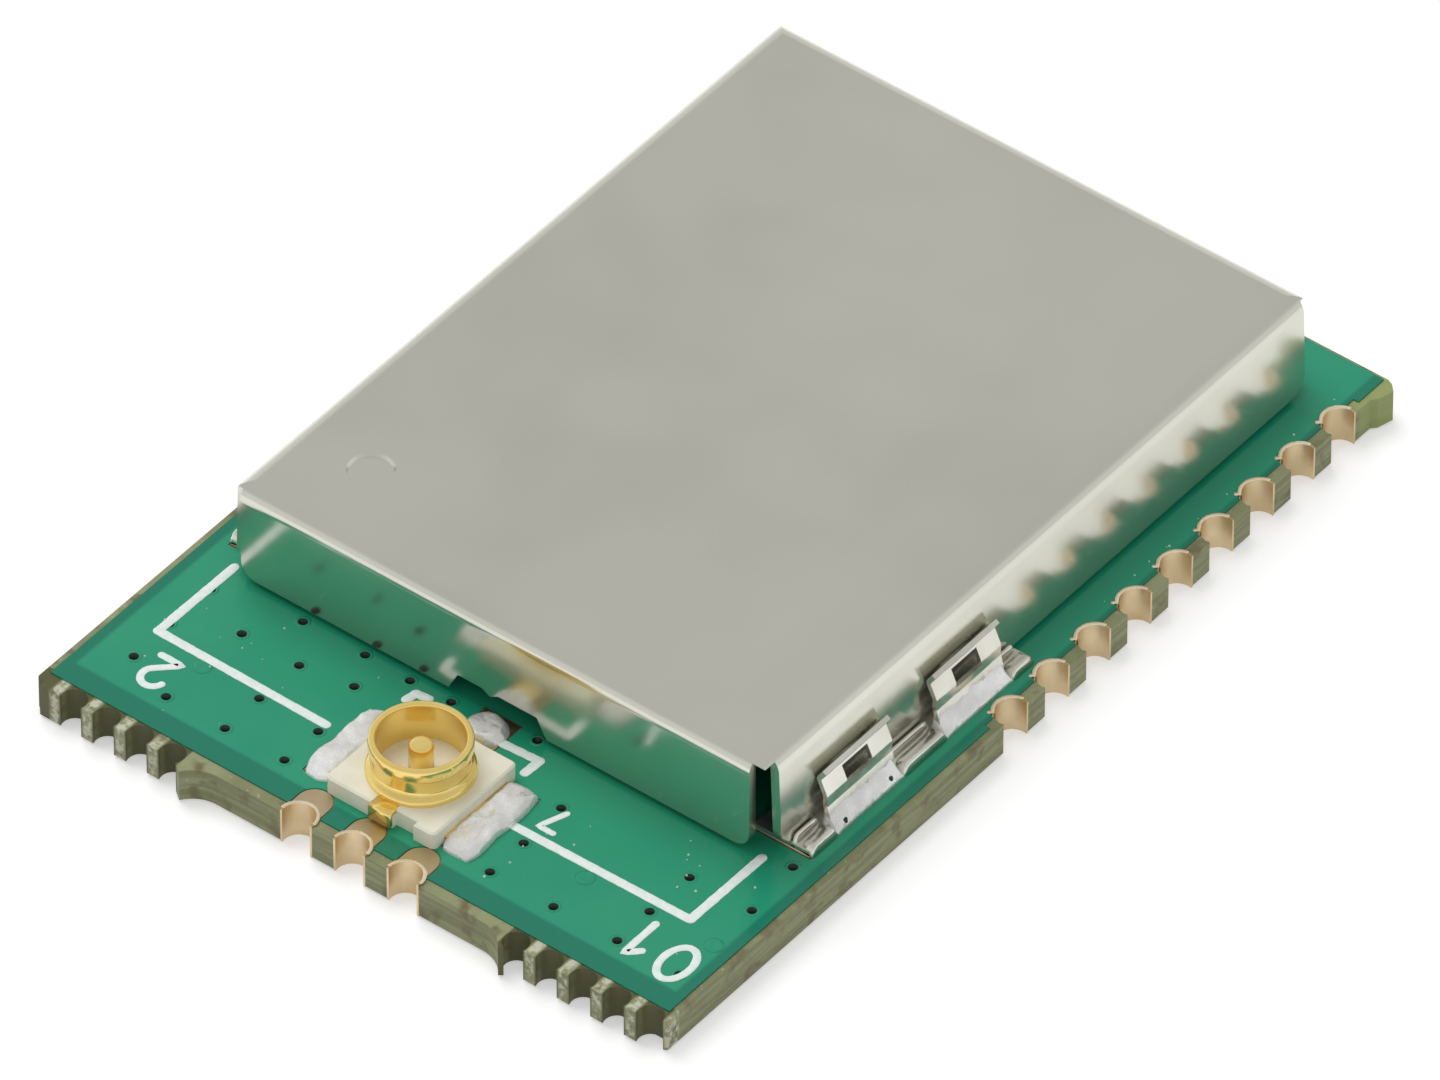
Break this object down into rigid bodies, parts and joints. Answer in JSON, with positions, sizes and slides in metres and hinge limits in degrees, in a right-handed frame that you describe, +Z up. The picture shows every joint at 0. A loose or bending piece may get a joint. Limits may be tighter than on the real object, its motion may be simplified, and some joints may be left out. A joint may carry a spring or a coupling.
{
  "type": "castellated radio module",
  "caption": "Small radio circuit module with plated half-hole pads along its edges, a clipped metal shield can and a micro coaxial receptacle.",
  "frame": {"origin": "centre of the board's underside, where the module rests on the board that carries it", "axes": "+X along the short side, +Y along the long side away from the receptacle, +Z up through the can"},
  "size_m": [0.0152, 0.0225, 0.0032],
  "materials": {
    "laminate": "woven glass laminate, olive, cut edges fibrous",
    "solder_mask": "green solder mask, glossy",
    "plated_copper": "thin gold over nickel and copper, satin",
    "ink": "printed white ink, matt",
    "can_metal": "nickel silver sheet, satin",
    "clip_metal": "tinned spring sheet, bright",
    "solder": "solder, bright",
    "gold": "gold plating, polished",
    "housing": "cream moulded plastic, satin",
    "chip_body": "black moulded package",
    "chip_leads": "tinned leads, satin",
    "ceramic": "dark ceramic",
    "capacitor_ceramic": "tan ceramic",
    "inductor_ceramic": "pale ceramic",
    "resistor_film": "black glazed film",
    "lid_metal": "plated lid, satin"
  },
  "bodies": {
    "root": {"pcb_laminate": "laminate", "solder_mask_top": "solder_mask", "solder_mask_bottom": "solder_mask", "castellations_right": "plated_copper", "castellations_left": "plated_copper", "castellations_front": "plated_copper", "clip_pads": "plated_copper", "receptacle_pads": "plated_copper", "silkscreen_lines": "ink", "shield_can": "can_metal", "shield_clip_right": "clip_metal", "shield_clip_left": "clip_metal", "clip_solder": "solder", "ground_solder": "solder", "signal_solder": "solder", "component_solder": "solder", "receptacle_outer_contact": "gold", "receptacle_centre_contact": "gold", "receptacle_housing": "housing", "radio_chip": "chip_body", "radio_chip_leads": "chip_leads", "crystal_base": "ceramic", "crystal_lid": "lid_metal", "capacitor_bodies": "capacitor_ceramic", "capacitor_terminals": "chip_leads", "inductor_bodies": "inductor_ceramic", "inductor_terminals": "chip_leads", "resistor_bodies": "resistor_film", "resistor_terminals": "chip_leads"}
  },
  "joints": []
}
